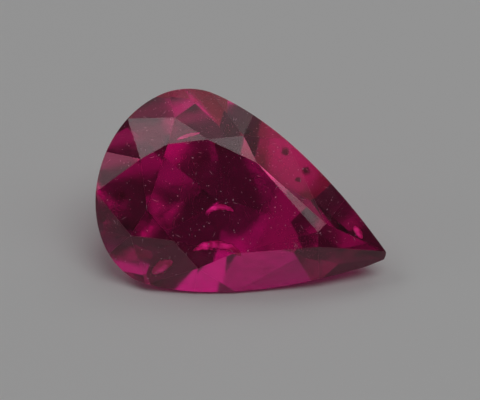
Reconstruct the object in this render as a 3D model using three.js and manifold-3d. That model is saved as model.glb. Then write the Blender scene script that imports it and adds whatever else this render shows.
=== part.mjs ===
// Pear-cut gemstone in millimetres, +Z up, lying on one flat of its pavilion with that flat on z = 0.
import * as THREE from "three";
import { mergeVertices } from "three/addons/utils/BufferGeometryUtils.js";
import Module from "manifold-3d";

const wasm = await Module();
wasm.setup();

// The cut is laid out with the girdle's upper edge on z = 0, the tip towards +x and the table facing +z.
const HALF_WIDTH = 4.08;
const HEAD_LENGTH = 3.17;
const FLANK_LENGTH = 9.09;
const FLANK_POWER = 1.67;
const TIP_X = 8.8;
const TIP_BULGE = 0.06;
const FLANK_STEPS = 22;
const HEAD_STEPS = 20;
const TIP_STEPS = 3;

// Heights of the table, the girdle band and the rough block left above and below the cuts.
const CROWN_HEIGHT = 1.19;
const GIRDLE_HEIGHT = 0.16;
const CULET = new THREE.Vector3(2, 0, -4.62);
const ROUGH_MARGIN = 0.6;
const WHEEL_SIZE = 40;

// A point well inside the stone, and how near two corners count as one.
const INSIDE = new THREE.Vector3(1.5, 0, -0.5);
const SAME_CORNER = 1e-5;

// Crown mains from the tip round the far side, the head and the near side: the table corner each one reaches,
// the way it faces in degrees, the girdle station where it ends and the side that station is on.
const FAR = 1;
const NEAR = -1;
const MAINS = [
  { corner: [5.92, 0.05], facing: 0, station: 8.8, side: FAR },
  { corner: [2.75, 1.89], facing: 65.2, station: 3.55, side: FAR },
  { corner: [0.59, 2.15], facing: 93, station: 0.1, side: FAR },
  { corner: [-0.85, 1.47], facing: 156.9, station: -2.76, side: FAR },
  { corner: [-0.8, -1.27], facing: 192.7, station: -3.03, side: NEAR },
  { corner: [0.57, -2.11], facing: 263, station: 0.05, side: NEAR },
  { corner: [2.99, -1.85], facing: 294.8, station: 3.55, side: NEAR },
];
// Between each main and the next: how high the star facet's point lies, as a share of the crown,
// and the girdle station where the two upper girdle facets meet.
const BREAKS = [
  { level: 0.93, station: 6.6, side: FAR },
  { level: 0.72, station: 2.0, side: FAR },
  { level: 0.74, station: -1.55, side: FAR },
  { level: 0.78, station: -3.15, side: FAR },
  { level: 0.74, station: -1.75, side: NEAR },
  { level: 0.72, station: 2.0, side: NEAR },
  { level: 0.93, station: 6.6, side: NEAR },
];

// Pavilion flats that touch the girdle: the way each faces and its slope, both in degrees.
const REST_FLAT = { facing: -70.8, slope: 48.9 };
const GIRDLE_TIER = [
  { facing: 70.8, slope: 53 },
  { facing: 52, slope: 53 },
  { facing: -50, slope: 57 },
  { facing: 98, slope: 51 },
  { facing: -105, slope: 58 },
  { facing: 129, slope: 47 },
  { facing: -123, slope: 51 },
  { facing: 157, slope: 54 },
  { facing: -161, slope: 56 },
];
// Shallower pavilion flats laid through the culet, whose very point the rest flat takes off.
const CULET_TIER = [
  { facing: 84, slope: 42 },
  { facing: 140, slope: 41 },
  { facing: -105, slope: 37 },
  { facing: 180, slope: 41 },
];

// Heading of the tip in plan once the stone lies on its rest flat, in degrees.
const TIP_HEADING = -11.7;

const STONE_COLOUR = 0x8c1040;
const STONE_ROUGHNESS = 0.05;
const STONE_METALNESS = 0;

const degrees = THREE.MathUtils.degToRad;

// Half width of the pear at a station along its length.
function halfWidth(x) {
  if (x < 0) return HALF_WIDTH * Math.sqrt(Math.max(0, 1 - (x / HEAD_LENGTH) ** 2));
  return HALF_WIDTH * (1 - (x / FLANK_LENGTH) ** FLANK_POWER);
}

// Point of the girdle's upper edge at a station on one side.
function girdleAt(x, side) {
  return new THREE.Vector3(x, side * halfWidth(Math.min(x, TIP_X)), 0);
}

// Point of the girdle whose outline faces a given way.
function girdleFacing(facing) {
  const turn = degrees(facing);
  const c = Math.cos(turn);
  const s = Math.sin(turn);
  if (c <= 0) {
    const reach = Math.hypot(HEAD_LENGTH * c, HALF_WIDTH * s);
    return new THREE.Vector3((HEAD_LENGTH ** 2 * c) / reach, (HALF_WIDTH ** 2 * s) / reach, 0);
  }
  if (s === 0) return new THREE.Vector3(TIP_X + TIP_BULGE, 0, 0);
  const steepness = (c / Math.abs(s)) * (FLANK_LENGTH / (HALF_WIDTH * FLANK_POWER));
  const x = Math.min(TIP_X, FLANK_LENGTH * steepness ** (1 / (FLANK_POWER - 1)));
  return girdleAt(x, Math.sign(s));
}

// Outline of the girdle, anticlockwise from the tip.
function pearShape() {
  const far = [];
  for (let i = 1; i <= TIP_STEPS; i++) {
    const turn = (Math.PI / 2) * (i / TIP_STEPS);
    far.push(new THREE.Vector2(TIP_X + TIP_BULGE * Math.cos(turn), halfWidth(TIP_X) * Math.sin(turn)));
  }
  for (let i = 1; i < FLANK_STEPS; i++) {
    const x = TIP_X * (1 - i / FLANK_STEPS);
    far.push(new THREE.Vector2(x, halfWidth(x)));
  }
  for (let i = 0; i < HEAD_STEPS; i++) {
    const turn = (Math.PI / 2) * (i / HEAD_STEPS);
    far.push(new THREE.Vector2(-HEAD_LENGTH * Math.sin(turn), HALF_WIDTH * Math.cos(turn)));
  }
  const near = far.map((p) => new THREE.Vector2(p.x, -p.y)).reverse();
  const tip = new THREE.Vector2(TIP_X + TIP_BULGE, 0);
  const head = new THREE.Vector2(-HEAD_LENGTH, 0);
  return new THREE.Shape([tip, ...far, head, ...near]);
}

// A closed geometry as a solid that can be cut.
function solidOf(geometry) {
  const plain = new THREE.BufferGeometry();
  const source = geometry.index ? geometry.toNonIndexed() : geometry;
  plain.setAttribute("position", source.getAttribute("position"));
  const merged = mergeVertices(plain, SAME_CORNER);
  const mesh = new wasm.Mesh({
    numProp: 3,
    vertProperties: merged.attributes.position.array,
    triVerts: new Uint32Array(merged.index.array),
  });
  return new wasm.Manifold(mesh);
}

// A finished solid as a geometry.
function geometryOf(solid) {
  const mesh = solid.getMesh();
  const geometry = new THREE.BufferGeometry();
  geometry.setAttribute("position", new THREE.BufferAttribute(mesh.vertProperties, 3));
  geometry.setIndex(new THREE.BufferAttribute(mesh.triVerts, 1));
  return geometry;
}

// Everything outside a plane, as a block whose face lies on it.
function wheel(plane) {
  const block = new THREE.BoxGeometry(WHEEL_SIZE, WHEEL_SIZE, WHEEL_SIZE);
  block.translate(0, 0, WHEEL_SIZE / 2);
  block.applyQuaternion(
    new THREE.Quaternion().setFromUnitVectors(new THREE.Vector3(0, 0, 1), plane.normal),
  );
  const seat = plane.coplanarPoint(new THREE.Vector3());
  block.translate(seat.x, seat.y, seat.z);
  return solidOf(block);
}

// A plane through three points that faces away from the middle of the stone.
function facetThrough(a, b, c) {
  const plane = new THREE.Plane().setFromCoplanarPoints(a, b, c);
  if (plane.distanceToPoint(INSIDE) > 0) plane.negate();
  return plane;
}

// A plane that faces one way at a slope under the girdle and passes through a point.
function facetFacing({ facing, slope }, point) {
  const turn = degrees(facing);
  const lean = degrees(slope);
  const normal = new THREE.Vector3(
    Math.sin(lean) * Math.cos(turn),
    Math.sin(lean) * Math.sin(turn),
    -Math.cos(lean),
  );
  return new THREE.Plane().setFromNormalAndCoplanarPoint(normal, point);
}

// Where three planes meet.
function meeting(a, b, c) {
  const bc = new THREE.Vector3().crossVectors(b.normal, c.normal);
  const ca = new THREE.Vector3().crossVectors(c.normal, a.normal);
  const ab = new THREE.Vector3().crossVectors(a.normal, b.normal);
  const point = bc.clone().multiplyScalar(-a.constant);
  point.addScaledVector(ca, -b.constant);
  point.addScaledVector(ab, -c.constant);
  return point.divideScalar(a.normal.dot(bc));
}

// Point of a plane straight above or below a given point.
function dropOnto(plane, point) {
  const z = -(plane.constant + plane.normal.x * point.x + plane.normal.y * point.y) / plane.normal.z;
  return new THREE.Vector3(point.x, point.y, z);
}

// Flat plane at a height, facing up.
function level(z) {
  return new THREE.Plane(new THREE.Vector3(0, 0, 1), -z);
}

// Corner of the table that a main reaches.
function tableCorner(main) {
  return new THREE.Vector3(main.corner[0], main.corner[1], CROWN_HEIGHT);
}

// Plane of a crown main: from its table corner down to the girdle that faces the same way.
function mainPlane(main) {
  const edge = girdleFacing(main.facing);
  const turn = degrees(main.facing);
  const along = new THREE.Vector3(-Math.sin(turn), Math.cos(turn), 0);
  return facetThrough(tableCorner(main), edge, edge.clone().add(along));
}

// Table, mains, stars and upper girdle facets.
function crownFacets() {
  const mains = MAINS.map(mainPlane);
  const ends = MAINS.map((main, i) => dropOnto(mains[i], girdleAt(main.station, main.side)));
  const facets = [level(CROWN_HEIGHT), ...mains];
  BREAKS.forEach((pause, i) => {
    const next = (i + 1) % MAINS.length;
    const star = meeting(mains[i], mains[next], level(CROWN_HEIGHT * pause.level));
    const foot = girdleAt(pause.station, pause.side);
    facets.push(facetThrough(tableCorner(MAINS[i]), tableCorner(MAINS[next]), star));
    facets.push(facetThrough(star, ends[i], foot));
    facets.push(facetThrough(star, foot, ends[next]));
  });
  return facets;
}

// A pavilion flat that touches the girdle's lower edge where the outline faces the same way.
function girdleTierFacet(flat) {
  const edge = girdleFacing(flat.facing);
  edge.z = -GIRDLE_HEIGHT;
  return facetFacing(flat, edge);
}

// Steep flats round the girdle and shallow ones round the culet.
function pavilionFacets() {
  const steep = [REST_FLAT, ...GIRDLE_TIER].map(girdleTierFacet);
  const shallow = CULET_TIER.map((flat) => facetFacing(flat, CULET));
  return [...steep, ...shallow];
}

// Pear-shaped preform, tall enough for every cut.
function preform() {
  const bottom = CULET.z - ROUGH_MARGIN;
  const height = CROWN_HEIGHT + ROUGH_MARGIN - bottom;
  const block = new THREE.ExtrudeGeometry(pearShape(), { depth: height, bevelEnabled: false });
  block.translate(0, 0, bottom);
  return solidOf(block);
}

// Turn that lays the stone on its rest flat with the tip on its heading.
function restTurn() {
  const down = girdleTierFacet(REST_FLAT).normal;
  const lie = new THREE.Quaternion().setFromUnitVectors(down, new THREE.Vector3(0, 0, -1));
  const tip = new THREE.Vector3(1, 0, 0).applyQuaternion(lie);
  const yaw = degrees(TIP_HEADING) - Math.atan2(tip.y, tip.x);
  const spin = new THREE.Quaternion().setFromAxisAngle(new THREE.Vector3(0, 0, 1), yaw);
  return spin.multiply(lie);
}

// Stands a geometry on z = 0 with the middle of its plan over the origin.
function standOnFloor(geometry) {
  geometry.computeBoundingBox();
  const box = geometry.boundingBox;
  geometry.translate(-(box.min.x + box.max.x) / 2, -(box.min.y + box.max.y) / 2, -box.min.z);
}

// The whole stone, cut and then laid down.
function gemstone() {
  const cuts = [...crownFacets(), ...pavilionFacets()];
  const cut = cuts.reduce((solid, plane) => solid.subtract(wheel(plane)), preform());
  const geometry = geometryOf(cut);
  geometry.applyQuaternion(restTurn());
  standOnFloor(geometry);
  const material = new THREE.MeshStandardMaterial({
    color: STONE_COLOUR,
    roughness: STONE_ROUGHNESS,
    metalness: STONE_METALNESS,
    flatShading: true,
  });
  const mesh = new THREE.Mesh(geometry, material);
  mesh.name = "gemstone";
  return mesh;
}

const group = new THREE.Group();
group.add(gemstone());

export default group;
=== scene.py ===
"""Looks of the pear-cut rubellite: the polished stone, its inclusions and dust, and a plain studio."""
import math
import random

import bmesh
import bpy
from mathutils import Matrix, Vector
from mathutils.bvhtree import BVHTree


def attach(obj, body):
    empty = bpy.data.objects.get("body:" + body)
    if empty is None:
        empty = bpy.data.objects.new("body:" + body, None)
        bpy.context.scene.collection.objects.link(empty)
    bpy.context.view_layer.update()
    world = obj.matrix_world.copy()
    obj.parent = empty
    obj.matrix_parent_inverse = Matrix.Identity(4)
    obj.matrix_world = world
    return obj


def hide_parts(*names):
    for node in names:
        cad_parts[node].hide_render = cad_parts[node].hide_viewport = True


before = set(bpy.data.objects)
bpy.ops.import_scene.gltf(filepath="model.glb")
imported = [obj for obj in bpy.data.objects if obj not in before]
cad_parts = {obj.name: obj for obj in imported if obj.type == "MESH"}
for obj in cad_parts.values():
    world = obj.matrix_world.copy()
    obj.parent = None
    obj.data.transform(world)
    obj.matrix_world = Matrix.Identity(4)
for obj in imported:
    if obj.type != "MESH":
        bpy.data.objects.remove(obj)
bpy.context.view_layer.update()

MM = 0.001

# Pose of the cut: where its own origin lies over the floor, and how the stone leans.
CUT_ORIGIN = Vector((-2.581, -0.203, 3.297)) * MM
TIP_AXIS = Vector((0.9487, -0.1965, -0.2478)).normalized()
TABLE_NORMAL = Vector((0.0157, -0.7534, 0.6574)).normalized()
FAR_AXIS = TABLE_NORMAL.cross(TIP_AXIS).normalized()

# Camera: how far it looks down, its lens, the width it sees and where it aims.
CAMERA_ELEVATION = math.radians(38.5)
CAMERA_LENS = 180.0
SENSOR_WIDTH = 36.0
VIEW_WIDTH = 19.33 * MM
AIM_RIGHT = 2.55 * MM
AIM_UP = -0.51 * MM
CLIP_START = 1.0 * MM

# Studio: how bright each soft light looks, its half angle, and where it stands as azimuth and elevation.
LIGHT_DISTANCE = 0.5
SOFT_LIGHTS = [
    ("top", 1.4, 21.0, 136.0, 73.0),
    ("far", 0.55, 17.0, 30.0, 56.0),
    ("left", 1.5, 12.0, -74.0, 52.0),
    ("low_left", 0.7, 7.0, -95.0, 26.0),
    ("back", 0.35, 12.0, -45.0, 46.0),
    ("right", 0.25, 10.0, 54.0, 45.0),
    ("side", 0.5, 13.0, 103.0, 49.0),
    ("low_front", 0.4, 9.0, -113.0, 14.0),
    ("low_back", 0.35, 9.0, 52.0, 12.0),
]
ROOM_BRIGHTNESS = 0.05
ROOM_COLOUR = (1.0, 1.0, 1.0, 1.0)
FLOOR_SIZE = 0.6
FLOOR_GAP = 0.02 * MM
FLOOR_COLOUR = (0.82, 0.82, 0.82, 1.0)
FLOOR_ROUGHNESS = 0.9

# Stone: refraction, and how much of each colour is lost per metre of path.
STONE_IOR = 1.63
LOSS_PER_METRE = (28.0, 900.0, 68.0)
DENSITY_MARGIN = 1.01
CLEAR_TINT = (1.0, 0.3, 0.42, 1.0)
CLOUDY_TINT = (0.97, 0.24, 0.37, 1.0)
POLISH_ROUGHNESS = (0.05, 0.15)
GIRDLE_FROST = 0.4
WORN_EDGE_FROST = 0.25
WAVE_STRENGTH = 0.05
WAVE_HEIGHT = 0.004 * MM

# Noise fixed to the pieces: cells per metre and detail of each kind, and the range that is used.
COLOUR_NOISE = (420.0, 3.0)
FILM_NOISE = (1500.0, 5.0)
WAVE_NOISE = (900.0, 2.0)
GRAIN_NOISE = (2600.0, 2.0)
NOISE_ROUGHNESS = 0.6
NOISE_RANGE = (0.3, 0.7)

# Looks of the small pieces: the colours they run between, the range of roughness, and how metallic they are.
SPECK_LOOKS = {
    "dust": ((0.85, 0.66, 0.74, 1.0), (0.5, 0.33, 0.41, 1.0), (0.7, 1.0), 0.0),
    "scratches": ((0.75, 0.5, 0.6, 1.0), (0.45, 0.25, 0.33, 1.0), (0.4, 1.0), 0.0),
    "needles": ((0.8, 0.5, 0.62, 1.0), (0.6, 0.25, 0.4, 1.0), (0.4, 1.0), 0.0),
    "healed_cracks": ((0.95, 0.6, 0.72, 1.0), (0.7, 0.3, 0.48, 1.0), (0.3, 1.0), 0.0),
    # Feathers: a nearly metallic hot pink, a painted flash that stands in for light reflected inside the
    # stone.
    "painted_flash_feathers": ((1.0, 0.14, 0.78, 1.0), (0.8, 0.02, 0.42, 1.0), (0.3, 0.6), 0.9),
    "dark_crystals": ((0.05, 0.01, 0.02, 1.0), (0.16, 0.02, 0.05, 1.0), (0.5, 1.0), 0.0),
}

# Edges: how far they are worn, and the angles that tell a flat, an edge and the girdle apart.
MERGE_DISTANCE = 0.0005 * MM
EDGE_WEAR = 0.016 * MM
FLAT_ANGLE = math.radians(0.6)
EDGE_ANGLE = math.radians(3.0)
GIRDLE_TILT = 0.06

# Dust on the facets that face up, most of it very fine.
DUST_SEED = 11
DUST_GRAINS = 760
DUST_RADIUS = (0.004 * MM, 0.018 * MM)
DUST_FINENESS = 3
DUST_STRETCH = 3.0
DUST_FLATNESS = 0.5
DUST_UPWARD = 0.12

# Places below are in the cut's own millimetres: along to the tip, across to the far side, and depth under
# the surface where a depth is given.
PROBE_HEIGHT = 6.0

# Scratches on the surface: along, across, heading in degrees, length.
SCRATCHES = [
    (3.84, 2.84, 25, 0.16),
    (3.93, 2.78, 70, 0.12),
    (-1.88, -2.13, 140, 0.3),
    (-1.8, -2.05, 60, 0.12),
    (5.25, -0.72, -30, 0.42),
    (5.5, -0.9, -20, 0.3),
    (5.9, -1.0, -24, 0.22),
    (1.32, 3.3, 95, 0.26),
]
SCRATCH_SEED = 15
FINE_SCRATCHES = 60
SCRATCH_LENGTH = (0.08, 0.32)
SCRATCH_RADIUS = 0.006 * MM
SCRATCH_FLATNESS = 0.3
SCRATCH_CUT = 0.8

# Needles inside: along, across and depth of the middle, half spread of each, count.
NEEDLE_GROUPS = [
    ((0.36, -1.42, 0.3), (0.1, 0.08, 0.1), 2),
    ((1.9, 0.1, 0.7), (1.9, 1.2, 0.5), 20),
    ((0.2, 0.6, 0.8), (0.6, 0.7, 0.4), 10),
]
NEEDLE_SEED = 12
NEEDLE_LENGTH = (0.1, 0.6)
NEEDLE_RADIUS = 0.008 * MM
NEEDLE_AXIS = Vector((-0.25, 0.9, 0.3)).normalized()
NEEDLE_SWAY = 0.3

# Healed cracks, seen as wavy sheets of droplets: along, across and depth of the middle, reach, count.
CRACK_SHEETS = [
    ((5.5, -0.6, 0.35), (1.3, 0.55), 240),
    ((3.4, 2.25, 0.3), (1.3, 0.5), 90),
    ((1.0, 2.9, 0.35), (1.2, 0.4), 60),
    ((-2.0, -1.9, 0.4), (0.7, 0.8), 60),
]
CRACK_SEED = 13
CRACK_SPREAD = 0.5
CRACK_WAVE = 0.4
CRACK_WAVE_RATE = 3.0
CRACK_SLOPE = 0.2
DROPLET_RADIUS = (0.005 * MM, 0.014 * MM)
DROPLET_COVER = 0.06 * MM
DROPLET_TILT = 0.35
DROPLET_STRETCH = 2.2
DROPLET_FLATNESS = 0.4

# Open cracks, flat bent bands that catch the light, coloured a painted hot pink flash that stands in for
# light reflected inside the stone: along, across and depth of the bend's middle, its radius, heading, half
# sweep and width, and how far the crack leans along and across.
PAINTED_FLASH_FEATHERS = [
    ((2.2, -1.02, 0.4), 0.83, 111.5, 42.0, 0.28, (0.0, 0.18)),
    ((2.71, -3.37, 0.4), 1.73, 104.0, 34.0, 0.38, (0.0, 0.18)),
    ((2.07, -4.34, 0.3), 2.0, 144.0, 15.0, 0.55, (-0.04, -0.08)),
    ((1.51, -0.42, 0.08), 3.0, 124.7, 9.5, 0.18, (-0.06, 0.29)),
    ((6.24, -1.02, 0.16), 2.0, 52.0, 9.0, 0.4, (0.17, 0.46)),
]
FEATHER_SEED = 16
FEATHER_STEPS = 30
FEATHER_SIDES = 12
FEATHER_FLATNESS = 0.06
FEATHER_RAGGED = 0.3
FEATHER_TAPER = 0.65

# Dark crystals, each a knot of small grains: along, across, depth, radius of the knot.
DARK_KNOTS = [
    ((3.65, 2.66, 0.4), 0.26),
    ((4.7, 2.2, 0.36), 0.28),
    ((1.95, 2.93, 0.4), 0.22),
    ((4.47, 1.7, 0.5), 0.18),
]
KNOT_SEED = 14
KNOT_GRAINS = 320
KNOT_SPREAD = 0.4
KNOT_REACH = 0.85
KNOT_GRAIN = (0.03, 0.11)
GRAIN_WIDTH = 0.8
GRAIN_HEIGHT = 0.6


def turn(x, y, z):
    """A direction of the cut where the stone lies."""
    return TIP_AXIS * x + FAR_AXIS * y + TABLE_NORMAL * z


def place(x, y, z):
    """A point of the cut, in its own millimetres, where the stone lies."""
    return CUT_ORIGIN + turn(x, y, z) * MM


def link(name, bm):
    """A mesh made into an object of the scene."""
    mesh = bpy.data.meshes.new(name)
    bm.to_mesh(mesh)
    bm.free()
    obj = bpy.data.objects.new(name, mesh)
    bpy.context.scene.collection.objects.link(obj)
    return obj


def carried(obj, material):
    """A finished piece of the stone, with its material."""
    obj.data.materials.append(material)
    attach(obj, "root")
    return obj


def principled(name):
    """A new material with its shader."""
    material = bpy.data.materials.new(name)
    material.use_nodes = True
    return material, material.node_tree.nodes["Principled BSDF"]


def add_node(tree, kind, **values):
    """A node with its inputs set by name."""
    node = tree.nodes.new(kind)
    for key, value in values.items():
        node.inputs[key.replace("_", " ")].default_value = value
    return node


def object_noise(tree, scale, detail):
    """Noise fixed to the object, in noise cells per metre."""
    coordinates = tree.nodes.new("ShaderNodeTexCoord")
    noise = add_node(tree, "ShaderNodeTexNoise", Scale=scale, Detail=detail, Roughness=NOISE_ROUGHNESS)
    tree.links.new(coordinates.outputs["Object"], noise.inputs["Vector"])
    return noise.outputs["Fac"]


def remap(tree, source, low, high):
    """Noise spread over a new range."""
    start, stop = NOISE_RANGE
    node = add_node(tree, "ShaderNodeMapRange", From_Min=start, From_Max=stop, To_Min=low, To_Max=high)
    tree.links.new(source, node.inputs["Value"])
    return node.outputs["Result"]


def mix_colours(tree, source, first, second):
    """A colour that runs with noise from the first to the second."""
    ramp = tree.nodes.new("ShaderNodeValToRGB")
    for stop, position, colour in zip(ramp.color_ramp.elements, NOISE_RANGE, (first, second)):
        stop.color = colour
        stop.position = position
    tree.links.new(source, ramp.inputs["Fac"])
    return ramp.outputs["Color"]


def add_absorption(tree):
    """Plain absorption: red passes, green is lost first."""
    density = max(LOSS_PER_METRE) * DENSITY_MARGIN
    tint = tuple(1.0 - loss / density for loss in LOSS_PER_METRE)
    absorb = add_node(tree, "ShaderNodeVolumeAbsorption", Density=density, Color=tint + (1.0,))
    tree.links.new(absorb.outputs["Volume"], tree.nodes["Material Output"].inputs["Volume"])


def add_polish(tree, shader):
    """Polish that varies a little, with the frost of the girdle and the worn edges on top."""
    film = remap(tree, object_noise(tree, *FILM_NOISE), *POLISH_ROUGHNESS)
    frost = tree.nodes.new("ShaderNodeAttribute")
    frost.attribute_name = "frost"
    total = tree.nodes.new("ShaderNodeMath")
    tree.links.new(film, total.inputs[0])
    tree.links.new(frost.outputs["Fac"], total.inputs[1])
    tree.links.new(total.outputs["Value"], shader.inputs["Roughness"])


def add_waves(tree, shader):
    """Very low waves left by the polishing."""
    bump = add_node(tree, "ShaderNodeBump", Strength=WAVE_STRENGTH, Distance=WAVE_HEIGHT)
    tree.links.new(object_noise(tree, *WAVE_NOISE), bump.inputs["Height"])
    tree.links.new(bump.outputs["Normal"], shader.inputs["Normal"])


def stone_material():
    """See-through magenta-red, a little patchy."""
    material, shader = principled("polished_rubellite")
    tree = material.node_tree
    shader.inputs["Transmission Weight"].default_value = 1.0
    shader.inputs["IOR"].default_value = STONE_IOR
    tint = mix_colours(tree, object_noise(tree, *COLOUR_NOISE), CLEAR_TINT, CLOUDY_TINT)
    tree.links.new(tint, shader.inputs["Base Color"])
    add_polish(tree, shader)
    add_waves(tree, shader)
    add_absorption(tree)
    return material


def speck_material(name):
    """Small grains whose colour differs from grain to grain."""
    first, second, roughness, metallic = SPECK_LOOKS[name]
    material, shader = principled(name)
    tree = material.node_tree
    shader.inputs["Metallic"].default_value = metallic
    patches = object_noise(tree, *GRAIN_NOISE)
    tree.links.new(mix_colours(tree, patches, first, second), shader.inputs["Base Color"])
    tree.links.new(remap(tree, patches, *roughness), shader.inputs["Roughness"])
    return material


def specks(name, bm):
    """A finished piece of small grains, with the look that goes with its name."""
    carried(link(name, bm), speck_material(name))


def is_girdle(face):
    """True for a face of the upright band between crown and pavilion."""
    return abs(face.normal.dot(TABLE_NORMAL)) < GIRDLE_TILT


def is_edge(edge):
    """True for an edge between two flats, not inside the rounded girdle."""
    if len(edge.link_faces) != 2:
        return False
    if all(is_girdle(face) for face in edge.link_faces):
        return False
    return edge.calc_face_angle() > EDGE_ANGLE


def cut_stone():
    """The cut stone with whole flats, edges worn by a hair and a frosted girdle."""
    bm = bmesh.new()
    bm.from_mesh(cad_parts["gemstone"].data)
    bmesh.ops.remove_doubles(bm, verts=bm.verts, dist=MERGE_DISTANCE)
    bmesh.ops.dissolve_limit(bm, angle_limit=FLAT_ANGLE, verts=bm.verts, edges=bm.edges)
    bm.normal_update()
    frost = bm.faces.layers.float.new("frost")
    for face in bm.faces:
        face[frost] = GIRDLE_FROST if is_girdle(face) else 0.0
        face.smooth = is_girdle(face)
    edges = [edge for edge in bm.edges if is_edge(edge)]
    worn = bmesh.ops.bevel(
        bm, geom=edges, offset=EDGE_WEAR, segments=1, profile=0.5, affect="EDGES", clamp_overlap=True
    )
    for face in worn["faces"]:
        face[frost] = WORN_EDGE_FROST
        face.smooth = False
    for edge in bm.edges:
        edge.smooth = all(face.smooth for face in edge.link_faces)
    stone = carried(link("cut_stone", bm), stone_material())
    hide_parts("gemstone")
    return stone


def surface_of(stone):
    """The stone's surface, ready to be probed."""
    corners = [vertex.co for vertex in stone.data.vertices]
    faces = [tuple(face.vertices) for face in stone.data.polygons]
    return BVHTree.FromPolygons(corners, faces)


def crown_at(surface, x, y):
    """Point and normal of the crown over a place of the cut, or nothing outside the outline."""
    point, normal, _, _ = surface.ray_cast(place(x, y, PROBE_HEIGHT), -TABLE_NORMAL)
    return (point, normal) if point else None


def under_crown(surface, x, y, depth):
    """Point at a depth under the crown, or nothing outside the outline."""
    found = crown_at(surface, x, y)
    return found[0] - TABLE_NORMAL * depth * MM if found else None


def octahedron(bm, centre, along, across, through):
    """A grain with six points."""
    ends = []
    for axis in (along, across, through):
        ends.append((bm.verts.new(centre + axis), bm.verts.new(centre - axis)))
    for i in (0, 1):
        for j in (0, 1):
            for k in (0, 1):
                corner = [ends[0][i], ends[1][j], ends[2][k]]
                flip = (i + j + k) % 2
                bm.faces.new(corner[::-1] if flip else corner)


def side_directions(normal, spin):
    """Two directions in the plane of a normal, turned by an angle."""
    first = normal.orthogonal().normalized()
    second = normal.cross(first)
    along = first * math.cos(spin) + second * math.sin(spin)
    return along, normal.cross(along)


def random_vector(rng, spread):
    """A random vector with the same spread every way."""
    return Vector([rng.gauss(0, spread) for _ in range(3)])


def point_on(triangle, mesh, rng):
    """A random point of a triangle."""
    a, b, c = (mesh.vertices[i].co for i in triangle.vertices)
    u, v = rng.random(), rng.random()
    if u + v > 1:
        u, v = 1 - u, 1 - v
    return a + (b - a) * u + (c - a) * v


def upward_triangles(mesh):
    """The triangles of a mesh that dust can lie on, with their areas."""
    mesh.calc_loop_triangles()
    tops = [t for t in mesh.loop_triangles if t.normal.z > DUST_UPWARD]
    return tops, [t.area for t in tops]


def dust(stone):
    """Fine pale grains lying on the facets that face up."""
    rng = random.Random(DUST_SEED)
    tops, areas = upward_triangles(stone.data)
    small, large = DUST_RADIUS
    bm = bmesh.new()
    for triangle in rng.choices(tops, weights=areas, k=DUST_GRAINS):
        radius = small + (large - small) * rng.random() ** DUST_FINENESS
        length = radius * rng.uniform(1.0, DUST_STRETCH)
        along, across = side_directions(triangle.normal, rng.uniform(0, math.tau))
        at = point_on(triangle, stone.data, rng)
        thickness = triangle.normal * radius * DUST_FLATNESS
        octahedron(bm, at, along * length, across * radius, thickness)
    specks("dust", bm)


def off_surface(surface, point):
    """True for a point that has left the stone's surface."""
    return surface.find_nearest(point)[3] > SCRATCH_RADIUS


def scratch(bm, surface, at, normal, along, length):
    """One fine scratch that lies on a facet, cut back where it would run past the facet's edge."""
    half = 0.5 * length
    while any(off_surface(surface, at + along * half * side) for side in (-1, 1)):
        half *= SCRATCH_CUT
    across = normal.cross(along)
    lift = normal * SCRATCH_RADIUS * SCRATCH_FLATNESS
    octahedron(bm, at, along * half, across * SCRATCH_RADIUS, lift)


def scratches(stone, surface):
    """The scratches that show, and finer ones at random."""
    rng = random.Random(SCRATCH_SEED)
    bm = bmesh.new()
    for x, y, heading, length in SCRATCHES:
        at, normal = crown_at(surface, x, y)
        angle = math.radians(heading)
        way = turn(math.cos(angle), math.sin(angle), 0)
        along = (way - normal * way.dot(normal)).normalized()
        scratch(bm, surface, at, normal, along, length * MM)
    tops, areas = upward_triangles(stone.data)
    for triangle in rng.choices(tops, weights=areas, k=FINE_SCRATCHES):
        along, _ = side_directions(triangle.normal, rng.uniform(0, math.tau))
        at = point_on(triangle, stone.data, rng)
        scratch(bm, surface, at, triangle.normal, along, rng.uniform(*SCRATCH_LENGTH) * MM)
    specks("scratches", bm)


def needles(surface):
    """Thin light needles under the table, most of them along one direction."""
    rng = random.Random(NEEDLE_SEED)
    bm = bmesh.new()
    for middle, spread, count in NEEDLE_GROUPS:
        for _ in range(count):
            at = under_crown(surface, *[m + s * rng.uniform(-1, 1) for m, s in zip(middle, spread)])
            axis = turn(*(NEEDLE_AXIS + random_vector(rng, NEEDLE_SWAY)).normalized())
            across, through = side_directions(axis, rng.uniform(0, math.tau))
            half = 0.5 * rng.uniform(*NEEDLE_LENGTH) * MM
            if at:
                octahedron(bm, at, axis * half, across * NEEDLE_RADIUS, through * NEEDLE_RADIUS)
    specks("needles", bm)


def is_covered(surface, point):
    """True for a point with enough stone around it to hold a droplet."""
    nearest, normal, _, distance = surface.find_nearest(point)
    return distance > DROPLET_COVER and (point - nearest).dot(normal) < 0


def droplet(bm, rng, at):
    """One flat droplet of a healed crack."""
    normal = (TABLE_NORMAL + random_vector(rng, DROPLET_TILT)).normalized()
    radius = rng.uniform(*DROPLET_RADIUS)
    along, across = side_directions(normal, rng.uniform(0, math.tau))
    length = radius * rng.uniform(1, DROPLET_STRETCH)
    octahedron(bm, at, along * length, across * radius, normal * radius * DROPLET_FLATNESS)


def healed_cracks(surface):
    """Wavy sheets of droplets inside the stone."""
    rng = random.Random(CRACK_SEED)
    bm = bmesh.new()
    for (x, y, depth), (reach_x, reach_y), count in CRACK_SHEETS:
        for _ in range(count):
            u, v = rng.gauss(0, CRACK_SPREAD), rng.gauss(0, CRACK_SPREAD)
            wave = 1 + CRACK_WAVE * math.sin(CRACK_WAVE_RATE * u) + CRACK_SLOPE * v
            at = under_crown(surface, x + reach_x * u, y + reach_y * v, depth * wave)
            if at and is_covered(surface, at):
                droplet(bm, rng, at)
    specks("healed_cracks", bm)


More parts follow.
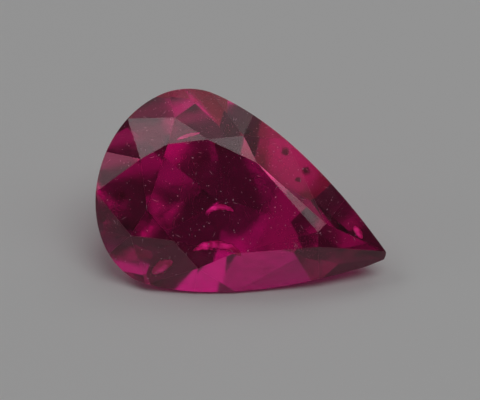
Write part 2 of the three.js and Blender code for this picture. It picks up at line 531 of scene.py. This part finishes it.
def feather_ring(corner, rng, radius, bend, half):
    """The corners around a crack at one angle of its bend, torn back at both edges."""
    outer = half * (1 - FEATHER_RAGGED * rng.random())
    inner = half * (1 - FEATHER_RAGGED * rng.random())
    ring = []
    for j in range(FEATHER_SIDES):
        angle = math.tau * j / FEATHER_SIDES
        side = math.cos(angle)
        lift = half * FEATHER_FLATNESS * math.sin(angle)
        ring.append(corner(radius + side * (outer if side > 0 else inner), bend, lift))
    return ring


def feather_skin(bm, ends, rings):
    """The faces of a crack, closed to a point at both ends."""
    for j in range(FEATHER_SIDES):
        k = (j + 1) % FEATHER_SIDES
        bm.faces.new((ends[0], rings[0][k], rings[0][j]))
        bm.faces.new((ends[1], rings[-1][j], rings[-1][k]))
        for low, high in zip(rings, rings[1:]):
            bm.faces.new((low[j], low[k], high[k], high[j]))


def feather(bm, rng, surface, middle, radius, heading, sweep, width, lean):
    """One flat bent crack that narrows to a point at both ends, with torn edges."""
    x, y, depth = middle
    top_x = radius * math.cos(math.radians(heading))
    top_y = radius * math.sin(math.radians(heading))
    top = under_crown(surface, x + top_x, y + top_y, depth)

    def corner(out, bend, lift):
        """A corner by its distance and angle from the bend's middle and its lift off the leaning sheet."""
        along = out * math.cos(bend) - top_x
        across = out * math.sin(bend) - top_y
        rise = lift - lean[0] * along - lean[1] * across
        return bm.verts.new(top + turn(along, across, rise) * MM)

    ends = [corner(radius, math.radians(heading + sweep * side), 0) for side in (-1, 1)]
    rings = []
    for i in range(1, FEATHER_STEPS):
        u = 2 * i / FEATHER_STEPS - 1
        half = 0.5 * width * (1 - u * u) ** FEATHER_TAPER
        rings.append(feather_ring(corner, rng, radius, math.radians(heading + sweep * u), half))
    feather_skin(bm, ends, rings)


def painted_flash_feathers(surface):
    """The open cracks, in a painted hot pink that stands in for flashes of light reflected inside the stone.
    """
    rng = random.Random(FEATHER_SEED)
    bm = bmesh.new()
    for shape in PAINTED_FLASH_FEATHERS:
        feather(bm, rng, surface, *shape)
    bmesh.ops.recalc_face_normals(bm, faces=bm.faces)
    for face in bm.faces:
        face.smooth = True
    specks("painted_flash_feathers", bm)


def dark_crystals(surface):
    """Small knots of dark grains caught in the stone."""
    rng = random.Random(KNOT_SEED)
    bm = bmesh.new()
    for (x, y, depth), radius in DARK_KNOTS:
        middle = under_crown(surface, x, y, depth)
        for _ in range(KNOT_GRAINS):
            offset = random_vector(rng, KNOT_SPREAD)
            grain = radius * MM * rng.uniform(*KNOT_GRAIN)
            normal = random_vector(rng, 1).normalized()
            along, across = side_directions(normal, rng.uniform(0, math.tau))
            at = middle + offset * radius * MM
            if offset.length < KNOT_REACH:
                height = normal * grain * GRAIN_HEIGHT
                octahedron(bm, at, along * grain, across * grain * GRAIN_WIDTH, height)
    specks("dark_crystals", bm)


def floor():
    """Plain pale floor, a hair under the stone."""
    bm = bmesh.new()
    bmesh.ops.create_grid(bm, x_segments=1, y_segments=1, size=FLOOR_SIZE)
    plane = link("floor", bm)
    plane.location.z = -FLOOR_GAP
    material, shader = principled("floor")
    shader.inputs["Base Color"].default_value = FLOOR_COLOUR
    shader.inputs["Roughness"].default_value = FLOOR_ROUGHNESS
    plane.data.materials.append(material)


def soft_light(name, brightness, half_angle, azimuth, elevation):
    """A round soft light that fills a cone seen from the stone."""
    a, e = math.radians(azimuth), math.radians(elevation)
    towards = Vector((math.sin(a) * math.cos(e), math.cos(a) * math.cos(e), math.sin(e)))
    radius = LIGHT_DISTANCE * math.tan(math.radians(half_angle))
    lamp = bpy.data.lights.new(name, "AREA")
    lamp.shape = "DISK"
    lamp.size = 2 * radius
    lamp.energy = brightness * math.pi * math.pi * radius ** 2
    obj = bpy.data.objects.new(name, lamp)
    bpy.context.scene.collection.objects.link(obj)
    obj.location = towards * LIGHT_DISTANCE
    obj.rotation_euler = towards.to_track_quat("Z", "Y").to_euler()


def studio():
    """Soft lights and an even dim room."""
    for light in SOFT_LIGHTS:
        soft_light(*light)
    world = bpy.data.worlds.new("room")
    world.use_nodes = True
    shade = world.node_tree.nodes["Background"]
    shade.inputs["Color"].default_value = ROOM_COLOUR
    shade.inputs["Strength"].default_value = ROOM_BRIGHTNESS
    bpy.context.scene.world = world
    bpy.context.scene.view_settings.view_transform = "Standard"


def camera():
    """Long lens from the front, above the table."""
    towards = Vector((0, -math.cos(CAMERA_ELEVATION), math.sin(CAMERA_ELEVATION)))
    up = Vector((0, math.sin(CAMERA_ELEVATION), math.cos(CAMERA_ELEVATION)))
    aim = CUT_ORIGIN + Vector((AIM_RIGHT, 0, 0)) + up * AIM_UP
    data = bpy.data.cameras.new("camera")
    data.lens = CAMERA_LENS
    data.sensor_width = SENSOR_WIDTH
    data.clip_start = CLIP_START
    obj = bpy.data.objects.new("camera", data)
    bpy.context.scene.collection.objects.link(obj)
    obj.location = aim + towards * (VIEW_WIDTH * CAMERA_LENS / SENSOR_WIDTH)
    obj.rotation_euler = towards.to_track_quat("Z", "Y").to_euler()
    bpy.context.scene.camera = obj


camera()
studio()
floor()
stone = cut_stone()
surface = surface_of(stone)
dust(stone)
scratches(stone, surface)
needles(surface)
healed_cracks(surface)
painted_flash_feathers(surface)
dark_crystals(surface)
